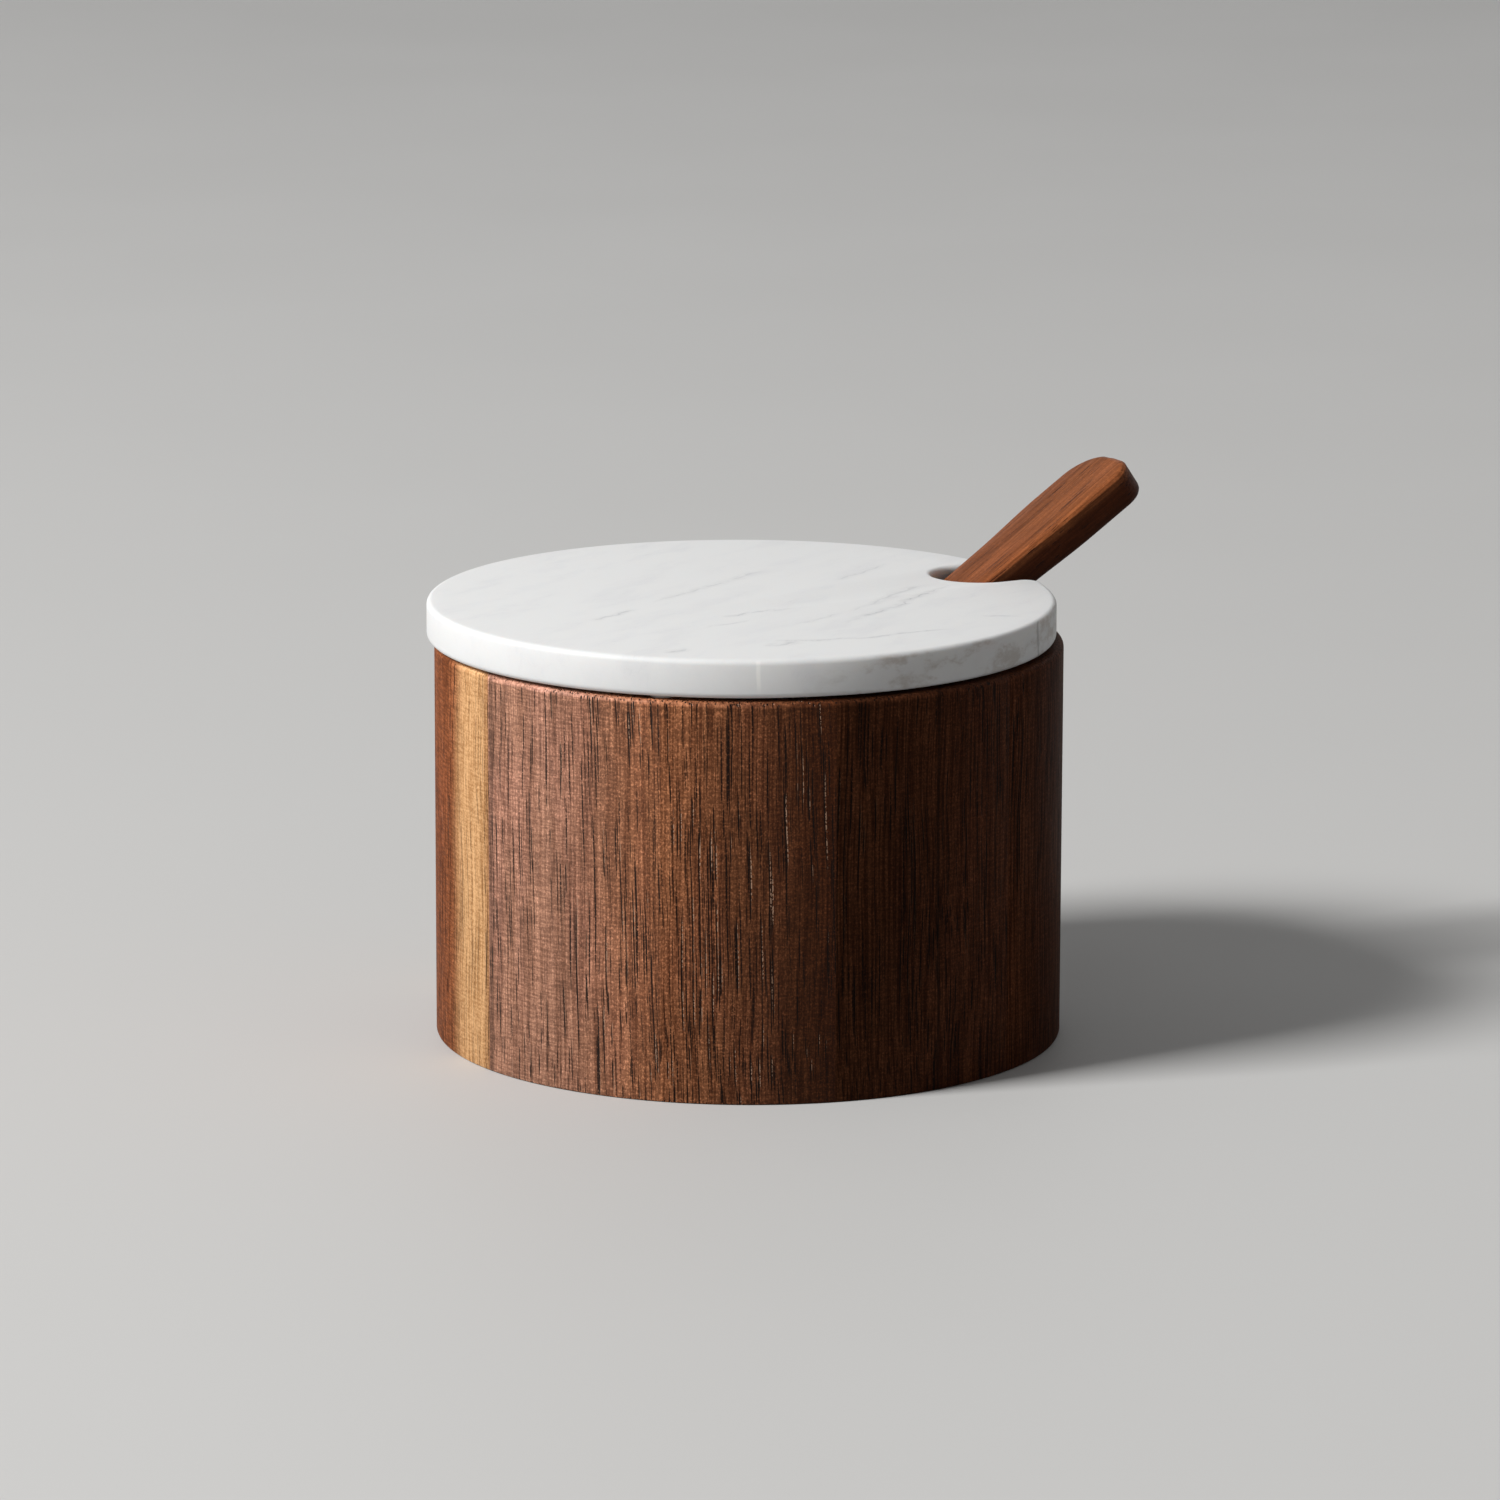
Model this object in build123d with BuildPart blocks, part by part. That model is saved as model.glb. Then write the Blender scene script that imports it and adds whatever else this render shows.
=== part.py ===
from build123d import *
import os
from math import cos, radians, sin

os.makedirs("parts", exist_ok=True)

# Millimetres. The origin is the centre of the pot's base, +Z is up, and -Y is the front.

# Pot, turned from a block of upright boards
pot_radius = 50.0
pot_height = 63.5
wall = 8.5
floor_thickness = 8.0
floor_cove = 6.0
rim_outer_round = 0.9
rim_inner_round = 2.0
base_edge_break = 0.4
board_width = 27.0

# Marble lid, which sits a little to the left of the pot's axis
lid_radius = 50.0
lid_thickness = 6.1
lid_gap = 0.5
lid_centre = (-1.2, 0.0)
lid_edge_round = 0.9

# Spoon notch, a U open to the lid's edge
notch_azimuth = 28.5
notch_centre = 43.3
notch_half_width = 7.5
notch_mouth_round = 2.5
notch_relief = 4.5

# Soft ring that keeps the lid over the pot's mouth, open where the spoon passes
ring_radius = 40.0
ring_width = 5.0
ring_drop = 4.0
ring_seat = 1.2
ring_opening = 27.0
ring_end_round = 1.5

# Thin pads between the marble and the rim
pad_radius = 2.0
pad_circle = 46.3
pad_count = 4
first_pad_azimuth = 75.0

# Spoon, which leans in the pot and passes the lid's notch
spoon_crossing = (40.6, 22.3)
spoon_azimuth = 26.0
spoon_elevation = 34.5
handle_width = 14.0
handle_waist = 12.0
handle_thickness = 6.0
handle_reach = 26.6
handle_flare_reach = 14.0
handle_front_corner = 4.2
handle_back_corner = 6.8
handle_top_bevel = 0.7
handle_under_round = 1.2
neck_width = 9.0
neck_reach = -62.0
bowl_reach = -87.0
bowl_half_length = 16.0
bowl_half_width = 11.5
bowl_depth = 9.0
bowl_wall = 2.2
bowl_sections = 5
last_section_angle = 80.0

lid_bottom = pot_height + lid_gap
lid_top = lid_bottom + lid_thickness
bore_radius = pot_radius - wall

# The whole pot, before it is parted along its glue lines
with BuildPart() as pot:
    Cylinder(pot_radius, pot_height, align=(Align.CENTER, Align.CENTER, Align.MIN))
    chamfer(pot.edges().group_by(Axis.Z)[0], length=base_edge_break)
    fillet(pot.edges().group_by(Axis.Z)[-1], radius=rim_outer_round)
    with BuildSketch(Plane.XY.offset(floor_thickness)):
        Circle(bore_radius)
    extrude(amount=pot_height - floor_thickness, mode=Mode.SUBTRACT)
    bore_edges = pot.edges(Select.LAST).filter_by(GeomType.CIRCLE).sort_by(Axis.Z)
    fillet(bore_edges[0], radius=floor_cove)
    rim_edges = pot.faces().filter_by(Plane.XY).sort_by(Axis.Z)[-1].edges()
    fillet(rim_edges.sort_by(SortBy.LENGTH)[0], radius=rim_inner_round)

# Boards, from left to right, each as the slice of the pot between two glue lines
inner_glue_line = board_width / 2
outer_glue_line = board_width * 3 / 2
board_spans = {
    "board_far_left": (-pot_radius, -outer_glue_line),
    "board_left": (-outer_glue_line, -inner_glue_line),
    "board_centre": (-inner_glue_line, inner_glue_line),
    "board_right": (inner_glue_line, outer_glue_line),
    "board_far_right": (outer_glue_line, pot_radius),
}
for board_name, (left_side, right_side) in board_spans.items():
    with BuildPart() as board:
        add(pot.part)
        with Locations(((left_side + right_side) / 2, 0, pot_height / 2)):
            Box(right_side - left_side, 2 * pot_radius, pot_height, mode=Mode.INTERSECT)
    board.part.label = board_name
    export_step(board.part, f"parts/{board_name}.step")

# The lid's own plane: x runs from its centre out through the notch
notch_direction = (cos(radians(notch_azimuth)), sin(radians(notch_azimuth)), 0)
lid_plane = Plane(origin=(*lid_centre, lid_bottom), x_dir=notch_direction, z_dir=(0, 0, 1))

with BuildSketch() as ring_outline:
    Circle(ring_radius)
    Circle(ring_radius - ring_width, mode=Mode.SUBTRACT)
    with Locations((ring_radius, 0)):
        Rectangle(2 * ring_radius, ring_opening, mode=Mode.SUBTRACT)
    fillet(ring_outline.vertices(), radius=ring_end_round)

with BuildPart() as marble_lid:
    with BuildSketch(lid_plane) as lid_outline:
        Circle(lid_radius)
        with Locations((notch_centre, 0)):
            Circle(notch_half_width, mode=Mode.SUBTRACT)
        with Locations((notch_centre + lid_radius / 2, 0)):
            Rectangle(lid_radius, 2 * notch_half_width, mode=Mode.SUBTRACT)
        fillet(lid_outline.vertices().group_by(Axis.X)[-1], radius=notch_mouth_round)
    extrude(amount=lid_thickness)
    top_edges = marble_lid.edges().group_by(Axis.Z)[-1]
    bottom_edges = marble_lid.edges().group_by(Axis.Z)[0]
    fillet(top_edges + bottom_edges, radius=lid_edge_round)
    # Relief under the notch's inner end, so that the handle can lean
    with BuildSketch(lid_plane):
        with Locations((notch_centre, 0)):
            Circle(notch_half_width + notch_relief)
    with BuildSketch(lid_plane.offset(notch_relief)):
        with Locations((notch_centre, 0)):
            Circle(notch_half_width)
    loft(mode=Mode.SUBTRACT)
    # Seat for the soft ring
    with BuildSketch(lid_plane):
        add(ring_outline.sketch)
    extrude(amount=ring_seat, mode=Mode.SUBTRACT)
marble_lid.part.label = "marble_lid"
export_step(marble_lid.part, "parts/marble_lid.step")

with BuildPart() as locating_ring:
    with BuildSketch(lid_plane.offset(-ring_drop)):
        add(ring_outline.sketch)
    extrude(amount=ring_drop + ring_seat)
locating_ring.part.label = "locating_ring"
export_step(locating_ring.part, "parts/locating_ring.step")

with BuildPart() as rest_pads:
    with BuildSketch(Plane(origin=(*lid_centre, pot_height))):
        with PolarLocations(pad_circle, pad_count, start_angle=first_pad_azimuth):
            Circle(pad_radius)
    extrude(amount=lid_gap)
rest_pads.part.label = "rest_pads"
export_step(rest_pads.part, "parts/rest_pads.step")

# The spoon's own plane: x runs along it to the handle's tip, z out of its upper face
azimuth = radians(spoon_azimuth)
elevation = radians(spoon_elevation)
spoon_along = (cos(elevation) * cos(azimuth), cos(elevation) * sin(azimuth), sin(elevation))
spoon_up = (-sin(elevation) * cos(azimuth), -sin(elevation) * sin(azimuth), cos(elevation))
spoon_plane = Plane(origin=(*spoon_crossing, lid_top), x_dir=spoon_along, z_dir=spoon_up)
spoon_face = spoon_plane.offset(handle_thickness / 2)

with BuildPart() as handle:
    with BuildSketch(spoon_plane.offset(-handle_thickness / 2)) as handle_outline:
        with BuildLine():
            Polyline(
                (bowl_reach + bowl_half_length / 2, -neck_width / 2),
                (neck_reach, -neck_width / 2),
                (0, -handle_waist / 2),
                (handle_flare_reach, -handle_width / 2),
                (handle_reach, -handle_width / 2),
                (handle_reach, handle_width / 2),
                (handle_flare_reach, handle_width / 2),
                (0, handle_waist / 2),
                (neck_reach, neck_width / 2),
                (bowl_reach + bowl_half_length / 2, neck_width / 2),
                close=True,
            )
        make_face()
        front_corner = handle_outline.vertices().group_by(Axis.X)[-1].sort_by(Axis.Y)[0]
        fillet(front_corner, radius=handle_front_corner)
        back_corner = handle_outline.vertices().group_by(Axis.X)[-1].sort_by(Axis.Y)[-1]
        fillet(back_corner, radius=handle_back_corner)
    extrude(amount=handle_thickness)
    under_face, top_face = handle.faces().filter_by(spoon_plane).sort_by(Axis.Z)
    top_edges, under_edges = top_face.edges(), under_face.edges()
    chamfer(top_edges, length=handle_top_bevel)
    fillet(under_edges, radius=handle_under_round)

with BuildPart() as spoon:
    add(handle.part)
    # The bowl's outside, then its hollow, each lofted through ever smaller ovals
    for inset, mode in ((0.0, Mode.ADD), (bowl_wall, Mode.SUBTRACT)):
        depth = bowl_depth - inset
        for section in range(bowl_sections):
            section_angle = radians(last_section_angle * section / (bowl_sections - 1))
            down = depth * sin(section_angle)
            shrink = cos(section_angle)
            with BuildSketch(spoon_face.offset(-down)):
                with Locations((bowl_reach, 0)):
                    Ellipse((bowl_half_length - inset) * shrink, (bowl_half_width - inset) * shrink)
        loft(mode=mode)
spoon.part.label = "spoon"
export_step(spoon.part, "parts/spoon.step")
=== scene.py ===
from math import atan2, cos, pi, radians, sin, sqrt

import bmesh
import bpy
from mathutils import Euler, Matrix, Vector


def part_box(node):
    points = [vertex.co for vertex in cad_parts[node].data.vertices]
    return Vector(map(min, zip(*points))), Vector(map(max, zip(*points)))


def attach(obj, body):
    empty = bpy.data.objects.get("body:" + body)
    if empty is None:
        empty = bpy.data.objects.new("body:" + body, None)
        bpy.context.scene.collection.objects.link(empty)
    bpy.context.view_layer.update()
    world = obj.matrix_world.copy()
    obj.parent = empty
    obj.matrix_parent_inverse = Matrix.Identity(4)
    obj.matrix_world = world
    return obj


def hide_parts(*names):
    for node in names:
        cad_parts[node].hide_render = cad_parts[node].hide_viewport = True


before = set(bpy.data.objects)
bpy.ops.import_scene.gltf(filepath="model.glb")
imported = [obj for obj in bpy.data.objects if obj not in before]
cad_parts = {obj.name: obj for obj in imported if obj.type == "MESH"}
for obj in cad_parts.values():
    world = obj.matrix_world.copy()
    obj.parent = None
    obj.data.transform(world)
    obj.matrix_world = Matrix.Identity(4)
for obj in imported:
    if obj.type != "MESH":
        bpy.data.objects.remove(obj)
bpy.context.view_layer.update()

mm = 0.001
samePlace = 1e-6  # metres; points nearer to each other than this are one
nearby = 1e-5  # metres; a point nearer to a circle than this lies on it


class Wire:  # an output socket that can be used in sums
    def __init__(self, finish, socket):
        self.finish = finish
        self.socket = socket

    def __add__(self, other):
        return self.finish.maths("ADD", self, other)

    def __sub__(self, other):
        return self.finish.maths("SUBTRACT", self, other)

    def __rsub__(self, other):
        return self.finish.maths("SUBTRACT", other, self)

    def __mul__(self, other):
        return self.finish.maths("MULTIPLY", self, other)

    __radd__ = __add__


class Finish:  # a material under construction
    def __init__(self, name):
        self.material = bpy.data.materials.new(name)
        self.material.use_nodes = True
        self.tree = self.material.node_tree
        self.shader = self.tree.nodes["Principled BSDF"]

    def node(self, kind, settings, inputs, output=0):
        made = self.tree.nodes.new(kind)
        for key, value in settings.items():
            setattr(made, key, value)
        for key, value in inputs.items():
            if isinstance(value, Wire):
                self.tree.links.new(value.socket, made.inputs[key])
            else:
                made.inputs[key].default_value = value
        return Wire(self, made.outputs[output])

    def maths(self, operation, first, second=0.0):
        return self.node("ShaderNodeMath", {"operation": operation}, {0: first, 1: second})

    def step(self, value, start, end, low=0.0, high=1.0):  # a smooth step from start to end
        settings = {"interpolation_type": "SMOOTHSTEP"}
        inputs = {"Value": value, "From Min": start, "From Max": end, "To Min": low, "To Max": high}
        return self.node("ShaderNodeMapRange", settings, inputs)

    def band(self, value, middle, half, soft):  # 1 within half of the middle, 0 beyond soft more
        return self.step(self.maths("ABSOLUTE", value - middle), half, half + soft, 1.0, 0.0)

    def blend(self, factor, first, second, mode="MIX"):  # of two colours
        settings = {"data_type": "RGBA", "clamp_factor": True, "blend_type": mode}
        return self.node("ShaderNodeMix", settings, {0: factor, 6: first, 7: second}, 2)

    def tint(self, factor, colour, shares):  # the colour times these shares of red, green and blue
        return self.blend(factor, colour, (*shares, 1.0), "MULTIPLY")

    def stretch(self, vector, scale, shift=(0, 0, 0)):
        settings = {"operation": "MULTIPLY_ADD"}
        return self.node("ShaderNodeVectorMath", settings, {0: vector, 1: scale, 2: shift})

    def push(self, vector, other, amount):  # vector + (other - 0.5) * amount
        offset = self.stretch(other, (amount,) * 3, (-amount / 2,) * 3)
        return self.node("ShaderNodeVectorMath", {"operation": "ADD"}, {0: vector, 1: offset})

    def noise(self, vector, detail, roughness, output=0):  # from 0 to 1, mostly near 0.5
        inputs = {"Vector": vector, "Scale": 1.0, "Detail": detail, "Roughness": roughness}
        return self.node("ShaderNodeTexNoise", {}, inputs, output)

    def pattern(self, vector, look, output=0):  # noise, as its scale, shift, detail and roughness
        scale, shift, detail, roughness = look
        return self.noise(self.stretch(vector, scale, shift), detail, roughness, output)

    def swing(self, noise, amount):  # a noise that runs to both sides of 0
        return (noise - 0.5) * amount

    def beads(self, vector):  # distance to the nearest of many scattered points
        return self.node("ShaderNodeTexVoronoi", {}, {"Vector": vector, "Scale": 1.0})

    def split(self, vector):
        parts = self.tree.nodes.new("ShaderNodeSeparateXYZ")
        self.tree.links.new(vector.socket, parts.inputs[0])
        return [Wire(self, socket) for socket in parts.outputs]

    def join(self, x, y, z=0.0):
        return self.node("ShaderNodeCombineXYZ", {}, {0: x, 1: y, 2: z})

    def length(self, vector):
        return self.node("ShaderNodeVectorMath", {"operation": "LENGTH"}, {0: vector}, 1)

    def place(self, centre=(0, 0, 0), turn=(0, 0, 0)):  # object coordinates in millimetres
        coordinates = self.node("ShaderNodeTexCoord", {}, {}, 3)
        settings = {"vector_type": "TEXTURE"}
        inputs = {"Vector": coordinates, "Location": centre, "Rotation": turn, "Scale": (mm,) * 3}
        return self.node("ShaderNodeMapping", settings, inputs)

    def close(self, colour, roughness, height, depth, **constants):
        bump = {"Strength": 1.0, "Distance": depth, "Height": height}
        normal = self.node("ShaderNodeBump", {}, bump)
        self.tree.links.new(colour.socket, self.shader.inputs["Base Color"])
        self.tree.links.new(roughness.socket, self.shader.inputs["Roughness"])
        self.tree.links.new(normal.socket, self.shader.inputs["Normal"])
        for name, value in constants.items():
            self.shader.inputs[name.replace("_", " ")].default_value = value
        return self.material


def srgb(red, green, blue):  # 0 to 255, as a linear colour
    shares = [value / 255 for value in (red, green, blue)]
    linear = [share / 12.92 if share < 0.04045 else ((share + 0.055) / 1.055) ** 2.4 for share in shares]
    return (*linear, 1.0)


def addObject(name, data):
    made = bpy.data.objects.new(name, data)
    bpy.context.scene.collection.objects.link(made)
    return made


def keepPiece(bm, name, body, node, finish, sharp=35):
    bmesh.ops.remove_doubles(bm, verts=bm.verts, dist=samePlace)
    bmesh.ops.recalc_face_normals(bm, faces=bm.faces)
    for face in bm.faces:
        face.smooth = True
    for edge in bm.edges:
        edge.smooth = edge.calc_face_angle(pi) < radians(sharp)
    mesh = bpy.data.meshes.new(name)
    bm.to_mesh(mesh)
    bm.free()
    mesh.materials.append(finish)
    piece = addObject(name, mesh)
    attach(piece, body)
    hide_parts(node)


def roundEdges(bm, edges, amount, segments):
    bmesh.ops.bevel(bm, geom=edges, offset=amount, offset_type="OFFSET", affect="EDGES",
                    segments=segments, profile=0.5, material=-1)


# Acacia, with its grain along Z. A pattern is (scale per millimetre, shift, detail, roughness),
# and a step is where it starts and ends, and what it gives there if that isn't 0 and 1
wood = {
    "sway": ((0.05, 0.05, 0.028), (0, 0, 0), 1.0, 0.5),
    "patch": ((0.13, 0.13, 0.030), (3, 9, 1), 1.0, 0.5),
    "smudge": ((0.9, 0.9, 0.14), (0, 0, 0), 1.0, 0.5),
    "fibre": ((2.4, 2.4, 0.035), (0, 0, 0), 3.0, 0.7),
    "speckle": ((3.2, 3.2, 2.6), (0, 0, 0), 1.0, 0.7),
    "ripple": ((0.35, 0.35, 2.8), (0, 0, 0), 1.0, 0.6),
    "ringsOut": 0.30,
    "ringsAlong": 0.010,
    "ringNoise": (3.0, 0.6),
    "ringShare": 0.6,  # of the broad figure, and the patches have the rest
    "crowd": (1.28, 1.62, -0.05, 0.05),  # marks grow where rings, patches and smudges meet
    "poresAcross": 2.3,
    "poreStrength": 0.95,
    "chainsAlong": 0.008,
    "chainShift": 70,
    "glintShift": 69.66,  # just beside the chains
    "glintShare": 0.7,
    "glintSpecks": (0.46, 0.54),
    "glintBreaks": (0.42, 0.54),
    "hairsAcross": 3.1,
    "hairsAlong": 0.012,
    "hairShift": 31,
    "hairBreaks": (0.62, 0.50),
    "breaksAcross": 1.3,
    "breakNoise": (1.0, 0.5),
    "gapSoft": 0.06,
    "markCore": 0.7,  # of a mark's reach is at full strength
    "dots": (0.28, 0.46, 0.5, 1.0),
    "lineSway": 0.6,
    "lineFray": 0.4,
    "roughness": (0.2, 0.8, 0.46, 0.60),
    "relief": {"speckle": 0.3, "ripple": 0.2, "longPores": -1.0, "chains": -0.7, "hairs": -0.4},
    "depth": 0.10 * mm,
}
tones = [  # pattern, its values for none and for full, strength, and what the colour is multiplied by
    ("figure", 0.42, 0.62, "ringed", (0.62, 0.58, 0.55)),
    ("patch", 0.48, 0.66, "blush", (1.5, 1.5, 1.65)),
    ("fibre", 0.42, 0.62, "streaky", (0.42, 0.36, 0.32)),
    ("fibre", 0.46, 0.32, "streaky", (1.30, 1.34, 1.36)),
    ("smudge", 0.58, 0.74, "smudged", (0.55, 0.55, 0.58)),
    ("ripple", 0.42, 0.58, "rippled", (0.48, 0.45, 0.44)),
    ("speckle", 0.40, 0.58, "rough", (0.50, 0.46, 0.44)),
    ("speckle", 0.42, 0.30, "sparkle", (1.9, 1.9, 2.0)),
]
sapwood = {
    "sway": 2.0,
    "fray": 1.6,
    "streaks": {"fibre": 0.5, "ripple": 0.2, "speckle": 0.3},
    "streaky": (0.40, 0.60),
    "dark": (0.56, 0.48, 0.40),
    "paleMarks": 0.6,
}
# a highlight painted along the rounded outer edge of the rim
rimHighlightLook = {
    "below": (1.1, 0.7),  # from the rim's top, where the painted highlight starts and where it is full
    "inside": (1.1, 0.6),  # and from the pot's outside
    "specks": (0.36, 0.56, 0.35, 1.0),
    "paler": (2.2, 2.3, 2.6),
}
flank = {  # heights on the handle's side, from where painted shade begins to darken it
    "shade": (-0.3, -1.7),
    "dark": (0.34, 0.25, 0.19),
    "deepShade": (-2.4, -4.6),
    "deepDark": (0.7, 0.7, 0.7),
    "arris": (0.45, 0.3, 0.1),  # its middle, half width and softness
    "arrisEnd": (0.5, -0.5),  # across the handle, since only the front arris gets the painted highlight
    "arrisHighlight": 0.8,
    "arrisPale": (1.5, 1.5, 1.5),
}


def woodFigure(made, look, place):  # the patterns behind the colours and the marks
    seeded = made.stretch(place, (1, 1, 1), look["seed"])
    sway = made.pattern(seeded, wood["sway"], output=1)
    bent = made.push(seeded, sway, look["sway"])
    x, y, z = made.split(bent)
    x = x + z * look["lean"]
    pithX, pithY = look["pith"]
    radius = made.length(made.join(x - pithX, y - pithY))
    ringsAt = made.join(radius * wood["ringsOut"], 0.0, z * wood["ringsAlong"])
    rings = made.noise(ringsAt, *wood["ringNoise"])
    grain = {"x": x, "y": y, "z": z, "sway": made.split(sway), "rings": rings}
    for name in ("patch", "smudge", "fibre"):
        grain[name] = made.pattern(bent, wood[name])
    for name in ("speckle", "ripple"):
        grain[name] = made.pattern(seeded, wood[name])
    grain["figure"] = rings * wood["ringShare"] + grain["patch"] * (1 - wood["ringShare"])
    return grain


def woodMarks(made, look, grain, level):  # pores and the like, adding them to the grain
    x, y, z = grain["x"], grain["y"], grain["z"]
    crowd = made.step(grain["rings"] + grain["patch"] + grain["smudge"], *wood["crowd"]) * look["cluster"]

    def dashes(across, along, shift=0.0, share=1.0):  # thin, along the grain, pointed at both ends
        bead = made.beads(made.join(x * across + shift, y * across, z * along)) - crowd
        reach = look["reach"] * share
        return made.step(bead, reach * wood["markCore"], reach, 1.0, 0.0)

    dotted = made.step(grain["speckle"], *wood["dots"])
    breaksAt = made.join(x * wood["breaksAcross"], y * wood["breaksAcross"], z * look["break"])
    breaks = made.noise(breaksAt, *wood["breakNoise"])
    gap = level("gap")
    grain["longPores"] = dashes(wood["poresAcross"], look["run"]) * dotted
    chains = dashes(look["spacing"], wood["chainsAlong"], wood["chainShift"])
    grain["chains"] = chains * made.step(breaks, gap, gap + wood["gapSoft"])
    glints = dashes(look["spacing"], wood["chainsAlong"], wood["glintShift"], wood["glintShare"])
    glints = glints * made.step(grain["speckle"], *wood["glintSpecks"])
    grain["glints"] = glints * made.step(breaks, *wood["glintBreaks"])
    hairs = dashes(wood["hairsAcross"], wood["hairsAlong"], wood["hairShift"])
    grain["hairs"] = hairs * dotted * made.step(breaks, *wood["hairBreaks"])


def addSap(made, look, grain, colour, placeX):
    swayX = grain["sway"][0]
    sapX = placeX + made.swing(swayX, sapwood["sway"]) + made.swing(grain["fibre"], sapwood["fray"])
    streaks = sum(grain[name] * share for name, share in sapwood["streaks"].items())
    gold = made.tint(made.step(streaks, *sapwood["streaky"]), look["sap"], sapwood["dark"])
    sap = made.step(sapX, *look["sapEdge"]) * made.step(placeX, *look["sapEnd"])
    for name in ("longPores", "chains"):
        grain[name] = grain[name] * (1 - sap * sapwood["paleMarks"])
    return made.blend(sap, colour, gold)


def addLine(made, look, grain, colour, placeX, line):  # a single dark line along the grain
    lineX, half, strength = line
    swayY = grain["sway"][1]
    frayed = placeX + made.swing(swayY, wood["lineSway"]) + made.swing(grain["fibre"], wood["lineFray"])
    return made.blend(made.band(frayed, lineX, half, half) * strength, colour, look["pore"])


def wearRim(made, look, grain, colour, across, placeZ):  # painted highlight on the rim's rounded outer edge, broken into specks
    radius, top = look["rim"]
    edge = made.step(placeZ, *[top - below for below in rimHighlightLook["below"]])
    edge = edge * made.step(across, *[radius - inside for inside in rimHighlightLook["inside"]])
    highlit = edge * made.step(grain["speckle"], *rimHighlightLook["specks"])
    highlit = highlit * (1 - grain["longPores"]) * (1 - grain["chains"])
    return made.tint(highlit * look["wear"], colour, rimHighlightLook["paler"])


def shadeFlank(made, look, colour, placeX, placeY):  # painted shade on the handle's sides, deeper towards its underside, and a painted highlight along its front arris
    def beyond(span):
        return made.step(placeY, *[look["flank"] + offset for offset in span])

    colour = made.tint(beyond(flank["shade"]), colour, flank["dark"])
    colour = made.tint(beyond(flank["deepShade"]), colour, flank["deepDark"])
    middle, half, soft = flank["arris"]
    arris = made.band(placeY, look["flank"] + middle, half, soft) * made.step(placeX, *flank["arrisEnd"])
    return made.tint(arris * flank["arrisHighlight"], colour, flank["arrisPale"])


def acacia(name, look, centre=(0, 0, 0), turn=(0, 0, 0)):
    made = Finish(name)
    place = made.place(centre, turn)
    placeX, placeY, placeZ = made.split(place)
    grain = woodFigure(made, look, place)

    def level(key):  # the same all over, or changing across the board
        if key in look["becomes"]:
            return made.step(placeX, *look["fade"], look[key], look["becomes"][key])
        return look[key]

    woodMarks(made, look, grain, level)
    colour = made.blend(made.step(placeX, *look["fade"]), look["left"], look["right"])
    for pattern, none, full, strength, shares in tones:
        colour = made.tint(made.step(grain[pattern], none, full, 0.0, level(strength)), colour, shares)
    if "sap" in look:
        colour = addSap(made, look, grain, colour, placeX)
    for line in look["lines"]:
        colour = addLine(made, look, grain, colour, placeX, line)
    colour = made.blend(grain["chains"] * look["chained"], colour, look["pore"])
    colour = made.blend(grain["longPores"] * wood["poreStrength"], colour, look["pore"])
    colour = made.blend(grain["hairs"] * level("haired"), colour, look["pore"])
    colour = made.blend(grain["glints"] * level("glint"), colour, look["pale"])
    if "rim" in look:
        across = made.length(made.join(placeX, placeY))
        colour = wearRim(made, look, grain, colour, across, placeZ)
    if "flank" in look:
        colour = shadeFlank(made, look, colour, placeX, placeY)
    height = sum(grain[mark] * share for mark, share in wood["relief"].items())
    roughness = made.step(grain["fibre"], *wood["roughness"])
    return made.close(colour, roughness, height, wood["depth"], Specular_IOR_Level=look["gloss"])


heartwood = {
    "left": srgb(186, 135, 108),
    "right": srgb(186, 135, 108),
    "fade": (0.0, 1.0),  # the X between which the left colour turns into the right one
    "pore": srgb(27, 14, 9),
    "pale": srgb(202, 160, 132),
    "ringed": 0.6,
    "blush": 0.5,
    "smudged": 0.5,
    "streaky": 0.65,
    "rippled": 0.6,
    "rough": 0.45,
    "sparkle": 0.45,
    "glint": 0.35,
    "chained": 0.95,
    "haired": 0.25,
    "spacing": 2.2,  # of the chains of pores, and the larger, the closer
    "break": 0.13,
    "gap": 0.50,  # in the chains, and the larger, the wider
    "wear": 0.8,
    "gloss": 0.3,
    "cluster": 1.0,
    "run": 0.045,  # of the long pores, and the smaller, the longer
    "reach": 0.26,  # how far a pore fills its space
    "lean": 0.0,
    "lines": (),  # each as its X, half width and strength
    "becomes": {},  # strengths that the fade ends with
    "sway": 3.0,
    "pith": (-20, 90),
    "seed": (0, 0, 0),
}
middleWood = {  # the left and centre boards come from one plank, so their figure runs on
    "seed": (52, 8, 3),
    "pith": (46, -70),
    "sway": 2.0,
    "run": 0.028,
    "spacing": 2.0,
    "lean": 0.025,
}
streakedWood = {
    "streaky": 0.85,
    "smudged": 0.3,
    "rippled": 0.45,
    "rough": 0.7,
    "sparkle": 0.65,
    "gap": 0.36,
    "glint": 0.8,
    "haired": 0.85,
}
# the right-hand boards, darker partly in their own tone and partly as painted shade on the side away from
# the key light
darkShadedWood = {
    "left": srgb(86, 50, 30),
    "right": srgb(96, 55, 34),
    "pore": srgb(12, 6, 4),
    "pale": srgb(120, 88, 66),
    "blush": 0.3,
    "streaky": 1.0,
    "rippled": 0.4,
    "rough": 0.6,
    "sparkle": 0.5,
    "glint": 0.3,
    "haired": 0.5,
    "gap": 0.38,
    "spacing": 2.0,
    "wear": 0.4,
    "gloss": 0.03,
    "run": 0.03,
}
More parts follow.
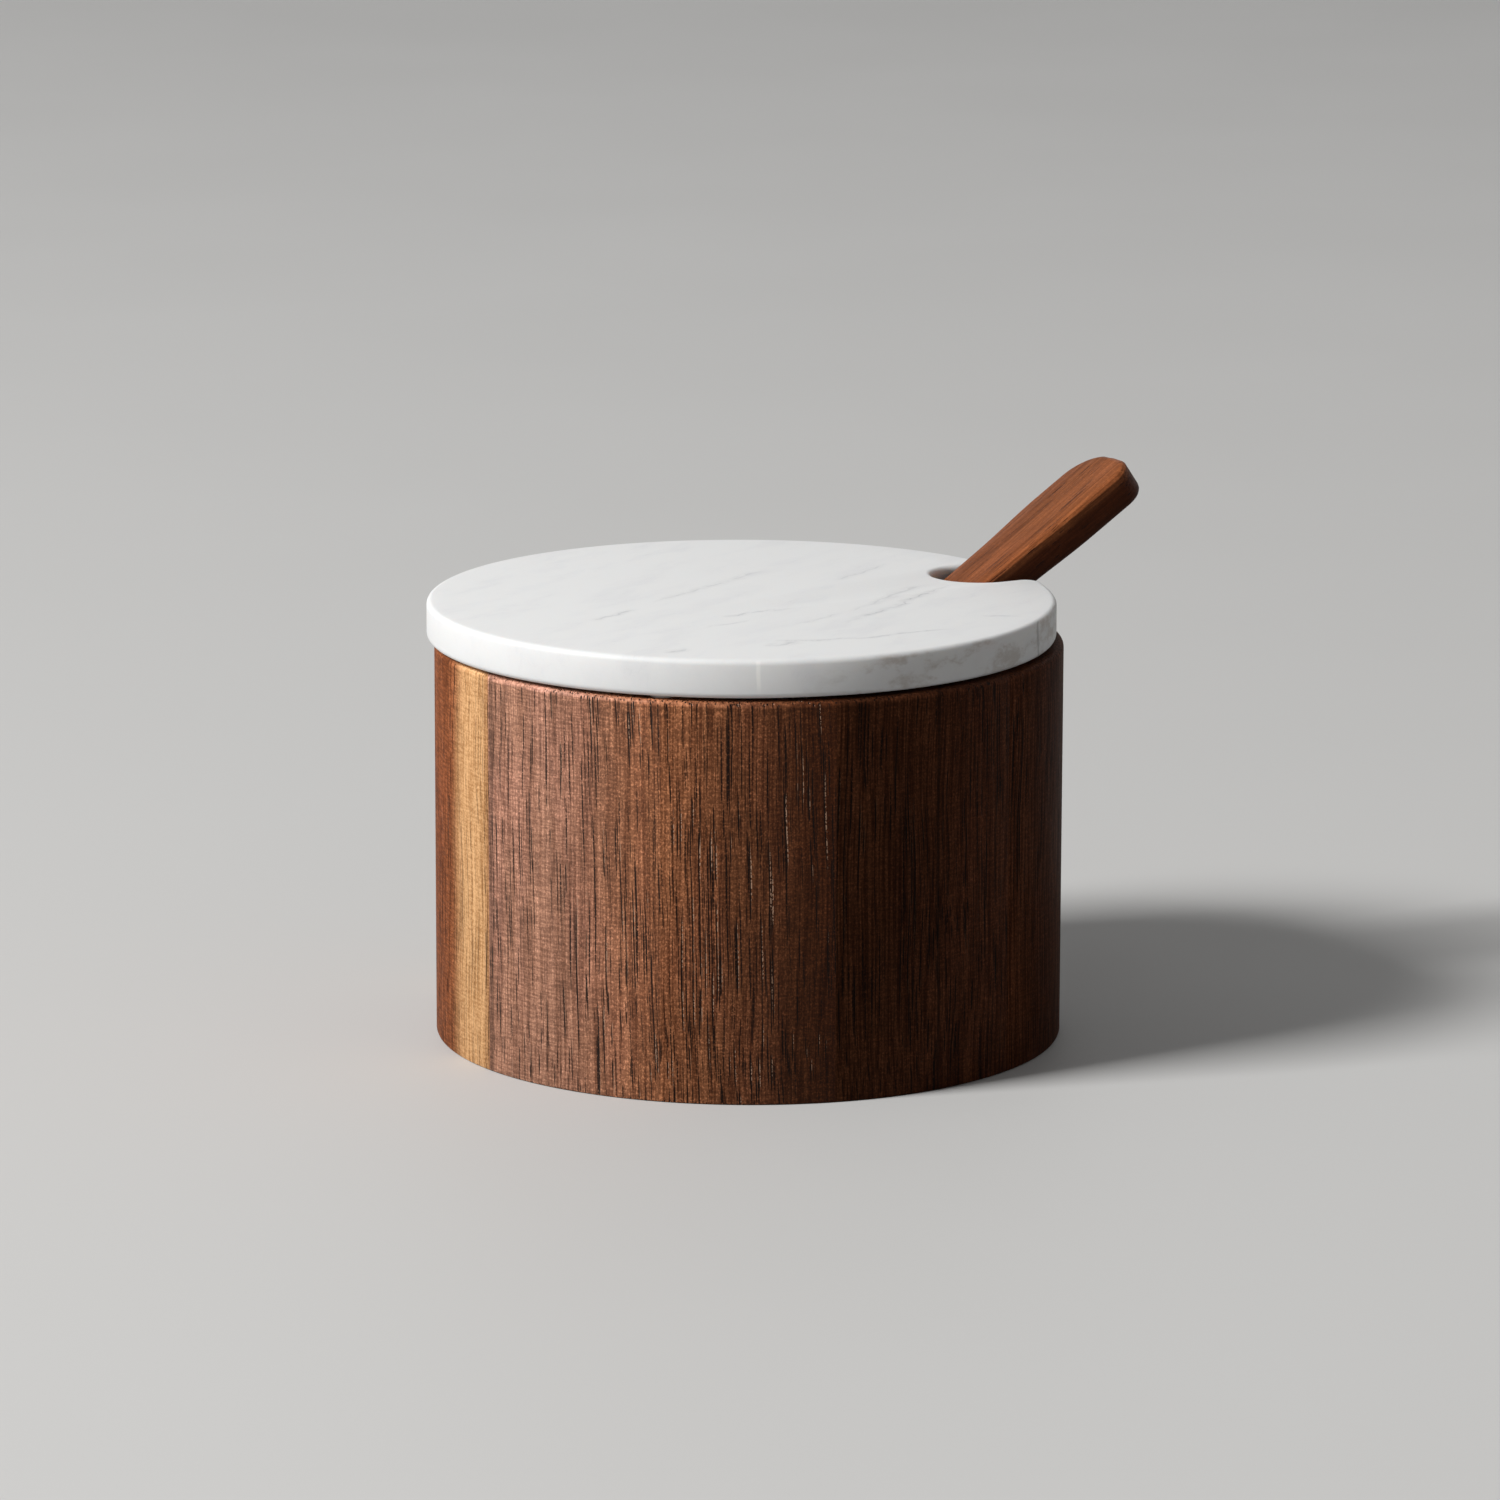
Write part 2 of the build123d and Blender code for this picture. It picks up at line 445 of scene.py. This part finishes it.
# across the pot the colours fall from left to right, partly as the wood's own tone and partly as painted
# shade away from the key light
boardLooks = {
    "board_far_left": ("acacia_sapwood", {
        "seed": (13, 40, 5), "pith": (-90, 6), "left": srgb(158, 92, 55), "right": srgb(176, 116, 74),
        "fade": (-48, -44), "sap": srgb(232, 182, 130), "sapEdge": (-46.8, -44.4),
        "sapEnd": (-39.6, -41.9), "run": 0.03, "gap": 0.48, "gloss": 0.02, "wear": 0.25}),
    "board_left": ("acacia_heartwood", {
        **middleWood, "left": srgb(193, 141, 114), "right": srgb(178, 117, 80), "fade": (-32, -14),
        "becomes": streakedWood, "gloss": 0.18, "pore": srgb(20, 10, 6), "lines": ((-40.1, 0.2, 0.4),)}),
    "board_centre": ("acacia_heartwood", {
        **middleWood, **streakedWood, "left": srgb(180, 118, 80), "right": srgb(86, 46, 23),
        "fade": (-16, 14), "gloss": 0.09, "pore": srgb(16, 8, 5)}),
    "board_right": ("acacia_dark_heartwood", {
        **darkShadedWood, "seed": (90, 77, 21), "pith": (60, 100), "fade": (13.5, 40),
        "lines": ((29.4, 0.16, 0.6),)}),
    "board_far_right": ("acacia_dark_heartwood", {
        **darkShadedWood, "seed": (120, 9, 40), "pith": (100, 20), "left": srgb(100, 58, 36),
        "right": srgb(78, 45, 28), "fade": (40, 50), "gloss": 0.01}),
}

potShape = {
    "wall": 8.5 * mm,
    "floor": 8.0 * mm,
    "cove": 6.0 * mm,
    "coveSegments": 10,
    "rimOuter": 0.9 * mm,
    "rimOuterSegments": 5,
    "rimInner": 2.0 * mm,
    "rimInnerSegments": 6,
    "baseBreak": 0.4 * mm,
    "baseSegments": 2,
    "turns": 288,
    "skin": 1.0 * mm,  # a board's side that is nearer than this to the outside is no glue line
}
potRadius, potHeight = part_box("board_centre")[1][1:]


def roundRing(bm, radius, height, amount, segments):
    def onRing(vert):
        return abs(vert.co.xy.length - radius) < nearby and abs(vert.co.z - height) < nearby
    edges = [edge for edge in bm.edges if all(onRing(vert) for vert in edge.verts)]
    roundEdges(bm, edges, amount, segments)


def turnedPot(shape):  # the whole pot, as it comes off the lathe
    bore, floor = potRadius - shape["wall"], shape["floor"]
    bm = bmesh.new()
    corners = [(0, 0), (potRadius, 0), (potRadius, potHeight), (bore, potHeight), (bore, floor), (0, floor)]
    verts = [bm.verts.new((across, 0, up)) for across, up in corners]
    edges = [bm.edges.new(pair) for pair in zip(verts, verts[1:])]
    bmesh.ops.spin(bm, geom=verts + edges, cent=(0, 0, 0), axis=(0, 0, 1), dvec=(0, 0, 0),
                   steps=shape["turns"], angle=2 * pi, use_merge=True)
    bmesh.ops.remove_doubles(bm, verts=bm.verts, dist=samePlace)
    roundRing(bm, potRadius, 0, shape["baseBreak"], shape["baseSegments"])
    roundRing(bm, potRadius, potHeight, shape["rimOuter"], shape["rimOuterSegments"])
    roundRing(bm, bore, potHeight, shape["rimInner"], shape["rimInnerSegments"])
    roundRing(bm, bore, floor, shape["cove"], shape["coveSegments"])
    return bm


def sawBoard(whole, node, look):  # the slice of the pot between two glue lines
    slotName, changes = look
    bm = whole.copy()
    low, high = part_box(node)
    for side, cut in ((-1, low[0]), (1, high[0])):
        if abs(cut) < potRadius - potShape["skin"]:
            geom = bm.verts[:] + bm.edges[:] + bm.faces[:]
            bmesh.ops.bisect_plane(bm, geom=geom, plane_co=(cut, 0, 0), plane_no=(side, 0, 0),
                                   clear_outer=True)
            openEdges = [edge for edge in bm.edges if edge.is_boundary]
            bmesh.ops.holes_fill(bm, edges=openEdges, sides=0)
    rim = potRadius / mm, potHeight / mm
    finish = acacia(node + "_wood", {**heartwood, **changes, "rim": rim})
    keepPiece(bm, node + "_turned", "pot", node, finish)


wholePot = turnedPot(potShape)
for node, look in boardLooks.items():
    sawBoard(wholePot, node, look)
wholePot.free()
print("boards done")


# Marble lid
lidShape = {
    "notchAzimuth": 28.5,
    "notchCentre": 43.3 * mm,
    "notchHalf": 7.5 * mm,
    "notchSteps": 40,
    "mouthRound": 2.5 * mm,
    "mouthSteps": 10,
    "relief": 4.5 * mm,
    "reliefSegments": 3,
    "edgeRound": 0.9 * mm,
    "edgeSegments": 5,
    "edgeAngle": 40,
    "rimSteps": 280,
}
stone = {
    "drift": ((0.12, 0.12, 0.12), (0, 0, 0), 3.0, 0.6),
    "warp": 4.5,
    "grainTurn": -57,
    "cloud": ((0.05, 0.16, 0.10), (2, 8, 5), 4.0, 0.6),
    "wisp": ((0.09, 0.55, 0.30), (7, 1, 5), 3.0, 0.6),
    "smudge": ((0.35, 0.9, 0.6), (0, 0, 0), 3.0, 0.6),
    "mottle": ((0.16, 0.16, 0.30), (4, 2, 6), 4.0, 0.65),
    "crystal": ((3.2, 3.2, 3.2), (0, 0, 0), 2.0, 0.7),
    "white": srgb(233, 233, 232),
    "clouded": srgb(225, 225, 226),
    "clouds": (0.45, 0.72, 0.0, 0.6),
    "thread": srgb(190, 191, 194),
    "threads": (0.50, 0.66, 0.0, 0.12),
    "threadHalf": 0.015,
    "vein": srgb(156, 157, 161),
    "veinStrength": 0.85,
    "veinTilt": 0.4,  # how far the veins run sideways for each millimetre down
    "veinTaper": 0.25,  # of a vein's length, at each end
    "veinPast": 1.0,
    "veinBreaks": (0.34, 0.56, 0.25, 1.0),
    "core": (0.1, 0.8, 0.75),  # half width and softness in widths of the vein, and strength
    "haze": (0.8, 2.6, 0.4),
    "sparkle": srgb(241, 241, 241),
    "sparkles": (0.6, 0.8, 0.0, 0.3),
    "sideDepth": (0.5, 0.1),  # inwards from the lid's outside
    "front": (2.0, 0.0),
    "mottled": srgb(192, 184, 176),
    "mottles": (0.46, 0.66, 0.0, 0.7),
    "mottledFrom": (5.0, 25.0),
    "crack": srgb(140, 136, 134),
    "crackAt": (45.4, 0.04, 0.18),  # its X, half width and softness
    "crackSway": 2.0,
    "crackShare": 0.5,
    "streak": srgb(250, 249, 246),
    "streakAt": (1.5, 0.15, 0.35),
    "streakSway": 1.2,
    "streakShare": 0.8,
    "streakUp": (5.6, 3.6),  # below the lid's top
    "roughness": (0.3, 0.7, 0.48, 0.58),
    "gloss": 0.3,
    "depth": 0.02 * mm,
    "glow": 0.35,
    "glowColour": (1.0, 0.85, 0.75),
    "glowDepth": 2.5 * mm,
}
veins = [  # start, end, strength and width, in millimetres seen from above
    ((15.1, -21.7), (32.1, 11.0), 0.55, 0.35),
    ((15.8, -12.4), (28.9, 12.4), 0.35, 0.45),
    ((3.0, -35.6), (17.5, -32.6), 0.45, 0.40),
    ((16.0, -33.4), (31.1, -25.4), 0.45, 0.30),
    ((3.1, -38.7), (7.3, -35.6), 0.40, 0.60),
    ((-4.6, -16.4), (6.8, -7.8), 0.50, 0.35),
    ((-24.5, -19.1), (-17.7, -10.2), 0.45, 0.35),
    ((-15.7, -5.1), (3.3, 24.0), 0.35, 0.45),
    ((37.2, -14.2), (42.8, -15.1), 0.45, 0.30),
    ((13.4, 13.8), (22.3, 28.3), 0.30, 0.45),
    ((-6.6, -24.4), (0.1, -19.1), 0.30, 0.35),
    ((-13.3, -44.1), (-10.2, -41.0), 0.40, 0.45),
    ((7.4, -21.5), (14.7, -13.4), 0.25, 0.40),
]


def arc(centre, radius, start, end, steps):
    turns = [start + (end - start) * step / steps for step in range(steps + 1)]
    return [Vector((centre[0] + radius * cos(turn), centre[1] + radius * sin(turn), 0)) for turn in turns]


def drawVein(made, colour, bent, smudge, top, vein):
    start, end, strength, width = vein
    bentX, bentY, bentZ = bent
    along = Vector(end) - Vector(start)
    reach = along.length
    unit = along / reach
    u = (bentX - start[0]) * unit.x + (bentY - start[1]) * unit.y
    v = (bentY - start[1]) * unit.x - (bentX - start[0]) * unit.y + (bentZ - top) * stone["veinTilt"]
    taper, past = reach * stone["veinTaper"], stone["veinPast"]
    ends = made.step(u, -past, taper) * made.step(u, reach - taper, reach + past, 1.0, 0.0)
    core, haze = [made.band(v, 0.0, width * half, width * soft) * share
                  for half, soft, share in (stone["core"], stone["haze"])]
    line = (core + haze) * ends * made.step(smudge, *stone["veinBreaks"])
    return made.blend(line * strength * stone["veinStrength"], colour, stone["vein"])


def marble(name, centreX, radius, top):  # measures of the lid, in millimetres
    made = Finish(name)
    place = made.place()
    placeX, placeY, _ = made.split(place)
    drift = made.pattern(place, stone["drift"], output=1)
    driftX, _, driftZ = made.split(drift)
    bent = made.push(place, drift, stone["warp"])
    across = made.node("ShaderNodeVectorRotate", {"rotation_type": "Z_AXIS"},
                       {"Vector": bent, "Angle": radians(stone["grainTurn"])})
    cloud, wisp, smudge = [made.pattern(across, stone[key]) for key in ("cloud", "wisp", "smudge")]
    crystal, mottle = [made.pattern(place, stone[key]) for key in ("crystal", "mottle")]
    colour = made.blend(made.step(cloud, *stone["clouds"]), stone["white"], stone["clouded"])
    thread = made.band(wisp, 0.5, 0.0, stone["threadHalf"])
    colour = made.blend(thread * made.step(cloud, *stone["threads"]), colour, stone["thread"])
    bentParts = made.split(bent)
    for vein in veins:
        colour = drawVein(made, colour, bentParts, smudge, top, vein)
    colour = made.blend(made.step(crystal, *stone["sparkles"]), colour, stone["sparkle"])
    fromAxis = made.length(made.join(placeX - centreX, placeY))
    side = made.step(fromAxis, *[radius - depth for depth in stone["sideDepth"]])
    front = side * made.step(placeY, *stone["front"])
    mottled = made.step(mottle, *stone["mottles"]) * side * made.step(placeX, *stone["mottledFrom"])
    colour = made.blend(mottled, colour, stone["mottled"])
    crack = made.band(placeX + made.swing(driftX, stone["crackSway"]), *stone["crackAt"]) * front
    colour = made.blend(crack * stone["crackShare"], colour, stone["crack"])
    streak = made.band(placeX + made.swing(driftZ, stone["streakSway"]), *stone["streakAt"]) * front
    streak = streak * made.step(bentParts[2], *[top - below for below in stone["streakUp"]])
    colour = made.blend(streak * stone["streakShare"], colour, stone["streak"])
    return made.close(colour, made.step(crystal, *stone["roughness"]), crystal, stone["depth"],
                      Specular_IOR_Level=stone["gloss"], Subsurface_Weight=stone["glow"],
                      Subsurface_Radius=stone["glowColour"], Subsurface_Scale=stone["glowDepth"])


def makeLid(shape):
    low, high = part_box("marble_lid")
    radius = (high[1] - low[1]) / 2
    centreX = low[0] + radius
    half, fillet, notchX = shape["notchHalf"], shape["mouthRound"], shape["notchCentre"]
    reach = sqrt((radius - fillet) ** 2 - (half + fillet) ** 2)
    mouth = atan2(half + fillet, reach)
    outline = arc((0, 0), radius, mouth, 2 * pi - mouth, shape["rimSteps"])
    outline += arc((reach, -half - fillet), fillet, -mouth, pi / 2, shape["mouthSteps"])
    outline += arc((notchX, 0), half, 1.5 * pi, 0.5 * pi, shape["notchSteps"])
    outline += arc((reach, half + fillet), fillet, -pi / 2, mouth, shape["mouthSteps"])
    bm = bmesh.new()
    bm.faces.new([bm.verts.new(point) for point in outline])
    bmesh.ops.remove_doubles(bm, verts=bm.verts, dist=samePlace)
    raised = bmesh.ops.extrude_face_region(bm, geom=list(bm.faces))["geom"]
    lift = [item for item in raised if isinstance(item, bmesh.types.BMVert)]
    bmesh.ops.translate(bm, vec=(0, 0, high[2] - low[2]), verts=lift)
    bmesh.ops.recalc_face_normals(bm, faces=bm.faces)
    centre = Vector((notchX, 0, 0))

    def underNotch(vert):  # on the lower edge of the notch's inner end
        onEnd = abs((vert.co - centre).length - half) < nearby and vert.co.x < notchX + samePlace
        return vert.co.z < samePlace and onEnd

    endEdges = [edge for edge in bm.edges if all(underNotch(vert) for vert in edge.verts)]
    roundEdges(bm, endEdges, shape["relief"], shape["reliefSegments"])
    flatEdges = [edge for edge in bm.edges if edge.calc_face_angle(0) > radians(shape["edgeAngle"])
                 and abs(edge.verts[0].co.z - edge.verts[1].co.z) < samePlace]
    roundEdges(bm, flatEdges, shape["edgeRound"], shape["edgeSegments"])
    turn = Matrix.Rotation(radians(shape["notchAzimuth"]), 4, "Z")
    middle = Vector((centreX, 0, low[2]))
    bmesh.ops.transform(bm, matrix=Matrix.Translation(middle) @ turn, verts=bm.verts)
    finish = marble("marble_honed", centreX / mm, radius / mm, high[2] / mm)
    keepPiece(bm, "marble_lid_honed", "lid", "marble_lid", finish)


makeLid(lidShape)
print("lid done")


# Spoon, carved from one piece; its own axes are u along it, v across and n up, in millimetres
spoonShape = {
    "crossing": (40.6, 22.3, 70.1),
    "azimuth": 26.0,
    "elevation": 34.5,
    "tip": 26.6,
    "frontCorner": 4.2,
    "backCorner": 6.8,
    "halfWidth": 7.0,
    "flareAt": 14.0,
    "halfWaist": 6.0,
    "halfThick": 3.0,
    "neckHalf": 4.5,
    "neckAt": -62.0,
    "neckBlend": 10.0,
    "bowlAt": -87.0,
    "bowlLong": 16.0,
    "bowlWide": 11.5,
    "bowlDeep": 9.0,
    "bowlWall": 2.2,
    "topEdge": ((0.9, 0.0), (0.35, 0.25), (0.0, 0.8)),
    "topDrop": 0.8,
    "underRound": 1.2,
    "underTurns": (0, 25, 50, 75, 90),
    "fullEdge": 4.0,  # half width from which the edges have their whole size
    "flatShare": 0.55,
    "spreadShare": 0.999,
    "leastDeep": 0.05,  # these two keep the bowl's ends from closing to a point
    "leastDrop": 0.02,
    "sharp": 30,
    "topPoints": 15,
    "underPoints": 9,
    "bowlSteps": 60,
    "neckSteps": 8,
    "handleSteps": 24,
    "flareStep": 1.25,
    "flareSteps": 15,
    "tipSteps": 22,
}
spoonWood = {
    "seed": (200, 31, 8),
    "pith": (12, 40),
    "left": srgb(130, 75, 42),
    "right": srgb(130, 75, 42),
    "pore": srgb(60, 29, 15),
    "pale": srgb(186, 130, 92),
    "streaky": 0.5,
    "rippled": 0.1,
    "rough": 0.2,
    "sparkle": 0.2,
    "chained": 0.4,
    "glint": 0.2,
    "reach": 0.2,
    "run": 0.05,
    "blush": 0.3,
    "gloss": 0.08,
    "flank": 2.2,  # height above the handle's middle at which painted shade on its sides begins
}


def spoonAxes(shape):
    azimuth, elevation = radians(shape["azimuth"]), radians(shape["elevation"])
    along = Vector((cos(elevation) * cos(azimuth), cos(elevation) * sin(azimuth), sin(elevation)))
    across = Vector((-sin(azimuth), cos(azimuth), 0))
    return along, across, along.cross(across)


def ramp(value, start, end):
    share = min(1, max(0, (value - start) / (end - start)))
    return share * share * (3 - 2 * share)


def wider(first, second, least=0):  # the larger of two, turning smoothly from one into the other
    return max(least, first ** 4 + second ** 4) ** 0.25


def handleHalf(shape, u):
    if u > 0:
        return shape["halfWaist"] + (shape["halfWidth"] - shape["halfWaist"]) * ramp(u, 0, shape["flareAt"])
    share = min(1, u / shape["neckAt"])
    return shape["halfWaist"] + (shape["neckHalf"] - shape["halfWaist"]) * share


def bowlShare(shape, u, wall):  # of the bowl's width and depth that is left this far along it
    return sqrt(max(0, 1 - ((u - shape["bowlAt"]) / (shape["bowlLong"] - wall)) ** 2))


def edgeLevels(shape, u, half):  # (front v, back v, n), from the top face's edge down to the underside
    thick, left, under = shape["halfThick"], shape["tip"] - u, shape["underRound"]
    scale = min(1, half / shape["fullEdge"])

    def side(inset, corner):  # half width of the outline, drawn in by the inset
        short = max(0, corner - max(inset, left))
        radius = corner - inset
        return half - inset - radius + sqrt(max(0, radius ** 2 - short ** 2))

    def level(inset, height):
        inset = min(inset * scale, left)
        return -side(inset, shape["frontCorner"]), side(inset, shape["backCorner"]), height

    drop = max(0, shape["topEdge"][0][0] - left) * shape["topDrop"]
    levels = [level(inset, thick - max(depth * scale, drop)) for inset, depth in shape["topEdge"]]
    for turn in shape["underTurns"]:
        inset = under * (1 - cos(radians(turn)))
        rise = under * (1 - sin(radians(turn)))
        if inset > left:
            inset, rise = left, under - sqrt(max(0, under ** 2 - (under - left) ** 2))
        levels.append(level(inset, rise - thick))
    return levels


def topPoints(shape, u, front, back, top):  # across the top face, down into the bowl where it is
    hollowShare = bowlShare(shape, u, shape["bowlWall"])
    hollowHalf, hollowDeep = shape["bowlWide"] - shape["bowlWall"], shape["bowlDeep"] - shape["bowlWall"]
    spread = max(hollowHalf * hollowShare, (back - front) / 2 * shape["flatShare"])
    points = []
    for index in range(shape["topPoints"]):
        turn = pi * ((index + 1) / (shape["topPoints"] + 1) - 0.5)
        v = (front + back) / 2 + spread * sin(turn) * shape["spreadShare"]
        inner = max(0, hollowShare ** 2 - (v / hollowHalf) ** 2)
        points.append((v, top - hollowDeep * sqrt(inner)))
    return points


def section(shape, u):  # closed loop of (v, n), from the front of the top face to its back and round below
    thick, bowl, onHandle = shape["halfThick"], bowlShare(shape, u, 0), u > shape["bowlAt"]
    handle = handleHalf(shape, u) if onHandle else 0
    half = wider(shape["bowlWide"] * bowl, handle)
    levels = edgeLevels(shape, u, half)
    front, back, top = levels[0]
    loop = [(front, top)] + topPoints(shape, u, front, back, top)
    loop += [(right, height) for _, right, height in levels]
    first, last, bottom = levels[-1]
    for index in range(shape["underPoints"]):
        loop.append((last + (first - last) * (index + 1) / (shape["underPoints"] + 1), bottom))
    loop += [(nearest, height) for nearest, _, height in reversed(levels[1:])]
    turnsAt = shape["topPoints"] + len(shape["topEdge"])  # from here on the loop is the underside
    rounded = ramp(u, shape["neckAt"], shape["bowlAt"] + shape["neckBlend"]) if onHandle else 1
    rim = loop[turnsAt][1]
    deep = wider(shape["bowlDeep"] * bowl, 2 * thick * onHandle, shape["leastDeep"])
    count = len(loop) - turnsAt - 1
    for index in range(turnsAt, len(loop)):
        turn = pi * (index - turnsAt) / count
        oval = half * cos(turn), rim - max(shape["leastDrop"], deep - (thick - rim)) * sin(turn)
        loop[index] = tuple(a + (b - a) * rounded for a, b in zip(loop[index], oval))
    return loop


def spoonStations(shape):  # the u of each section, close together where the shape turns
    first, last = shape["bowlAt"] - shape["bowlLong"], shape["bowlAt"] + shape["bowlLong"]
    neck, tip, corner = shape["neckAt"], shape["tip"], shape["backCorner"]
    bowlSteps, neckSteps, handleSteps = shape["bowlSteps"], shape["neckSteps"], shape["handleSteps"]
    tipSteps = shape["tipSteps"]
    stations = [first + (last - first) * (1 - cos(pi * (step + 0.5) / bowlSteps)) / 2
                for step in range(bowlSteps)]
    stations += [last + (neck - last) * step / neckSteps for step in range(1, neckSteps + 1)]
    stations += [neck * (1 - step / handleSteps) for step in range(1, handleSteps + 1)]
    stations += [step * shape["flareStep"] for step in range(1, shape["flareSteps"] + 1)]
    stations += [tip - corner * (1 - sin(pi / 2 * step / tipSteps)) for step in range(tipSteps + 1)]
    return stations


def makeSpoon(shape):
    along, across, up = spoonAxes(shape)
    origin = Vector(shape["crossing"])
    bm = bmesh.new()
    rings = [[bm.verts.new((origin + along * u + across * v + up * n) * mm) for v, n in section(shape, u)]
             for u in spoonStations(shape)]
    for ring, following in zip(rings, rings[1:]):
        for index in range(len(ring)):
            bm.faces.new((ring[index - 1], ring[index], following[index], following[index - 1]))
    for ring in (rings[0], rings[-1]):
        bm.faces.new(ring)
    turn = Matrix((across, up, along)).transposed().to_euler()
    finish = acacia("spoon_wood", {**heartwood, **spoonWood}, tuple(origin * mm), tuple(turn))
    keepPiece(bm, "spoon_carved", "spoon", "spoon", finish, shape["sharp"])


makeSpoon(spoonShape)
print("spoon done")


# Soft ring and pads keep their own shapes
softLook = {
    "bloom": ((0.3, 0.3, 0.3), (0, 0, 0), 3.0, 0.5),
    "speck": ((6.0, 6.0, 6.0), (0, 0, 0), 1.0, 0.5),
    "specks": (0.66, 0.75, 0.0, 0.3),
    "blooms": (0.3, 0.7),
    "roughSpread": 0.15,
    "gloss": 0.4,
    "depth": 0.01 * mm,
}


def silicone(name, colour, lighter, roughness):
    made = Finish(name)
    place = made.place()
    bloom, speck = [made.pattern(place, softLook[key]) for key in ("bloom", "speck")]
    tone = made.blend(bloom, colour, lighter)
    tone = made.blend(made.step(speck, *softLook["specks"]), tone, lighter)
    matte = made.step(bloom, *softLook["blooms"], roughness, roughness + softLook["roughSpread"])
    return made.close(tone, matte, speck, softLook["depth"], Specular_IOR_Level=softLook["gloss"])


softFinishes = {
    "locating_ring": silicone("silicone_milky", srgb(202, 202, 198), srgb(222, 222, 219), 0.45),
    "rest_pads": silicone("pad_clear", srgb(206, 207, 205), srgb(228, 228, 226), 0.25),
}
for node, finish in softFinishes.items():
    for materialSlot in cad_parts[node].material_slots:
        materialSlot.material = finish
print("ring and pads done")


# Floor, lamp, sky and camera
studio = {
    "floorSize": 16.0,
    "floorColour": srgb(206, 205, 203),
    "floorLighter": srgb(214, 213, 211),
    "floorBounce": srgb(150, 149, 148),  # what the floor gives the object, darker than it looks
    "floorCloud": ((0.01, 0.01, 0.01), (0, 0, 0), 2.0, 0.5),
    "floorClouded": 0.1,
    "floorRoughness": (0, 1, 0.6, 0.7),
    "floorDepth": 0.01 * mm,
    "keyPlace": (-2.05, -0.98, 1.91),
    "keyAim": (0, 0, 0.035),
    "keySize": 0.8,
    "keyPower": 99.0,
    "skyColour": srgb(250, 250, 250),
    "skyLight": 0.14,
    "skySeen": 0.9,
}
seenRays = ("Is Camera Ray", "Is Glossy Ray", "Is Transmission Ray")


def makeFloor(look):
    bm = bmesh.new()
    bmesh.ops.create_grid(bm, x_segments=2, y_segments=2, size=look["floorSize"] / 2)
    mesh = bpy.data.meshes.new("floor")
    bm.to_mesh(mesh)
    bm.free()
    made = Finish("floor_matte")
    faint = made.pattern(made.place(), look["floorCloud"])
    rays = [made.node("ShaderNodeLightPath", {}, {}, name) for name in seenRays]
    seen = made.maths("MAXIMUM", made.maths("MAXIMUM", rays[0], rays[1]), rays[2])
    shown = made.blend(faint * look["floorClouded"], look["floorColour"], look["floorLighter"])
    tone = made.blend(seen, look["floorBounce"], shown)
    matte = made.step(faint, *look["floorRoughness"])
    mesh.materials.append(made.close(tone, matte, faint, look["floorDepth"]))
    piece = addObject("floor", mesh)


def makeKey(look):
    data = bpy.data.lights.new("key", "AREA")
    data.size = look["keySize"]
    data.energy = look["keyPower"]
    lamp = addObject("key", data)
    place = Vector(look["keyPlace"])
    lamp.location = place
    lamp.rotation_euler = (Vector(look["keyAim"]) - place).to_track_quat("-Z", "Y").to_euler()


def makeSky(look):
    world = bpy.data.worlds.new("studio")
    world.use_nodes = True
    nodes, links = world.node_tree.nodes, world.node_tree.links
    background = nodes["Background"]
    background.inputs["Color"].default_value = look["skyColour"]
    rays = nodes.new("ShaderNodeLightPath")
    seen = rays.outputs[seenRays[0]]
    for name in seenRays[1:]:
        either = nodes.new("ShaderNodeMath")
        either.operation = "MAXIMUM"
        links.new(seen, either.inputs[0])
        links.new(rays.outputs[name], either.inputs[1])
        seen = either.outputs[0]
    level = nodes.new("ShaderNodeMapRange")
    level.inputs["To Min"].default_value = look["skyLight"]
    level.inputs["To Max"].default_value = look["skySeen"]
    links.new(seen, level.inputs["Value"])
    links.new(level.outputs[0], background.inputs["Strength"])
    bpy.context.scene.world = world


view = {
    "lens": 180.3,
    "sensor": 36.0,
    "place": (0.0002, -1.1705, 0.2996),
    "pitch": 12.26,
    "roll": 0.15,
}


def makeCamera(shape):
    data = bpy.data.cameras.new("camera")
    data.lens = shape["lens"]
    data.sensor_width = shape["sensor"]
    camera = addObject("camera", data)
    tilt = Euler((radians(90 - shape["pitch"]), 0, 0)).to_matrix().to_4x4()
    turn = tilt @ Matrix.Rotation(radians(shape["roll"]), 4, "Z")
    camera.matrix_world = Matrix.Translation(shape["place"]) @ turn
    bpy.context.scene.camera = camera


makeFloor(studio)
makeKey(studio)
makeSky(studio)
makeCamera(view)
bpy.context.scene.view_settings.view_transform = "Standard"
print("studio done")
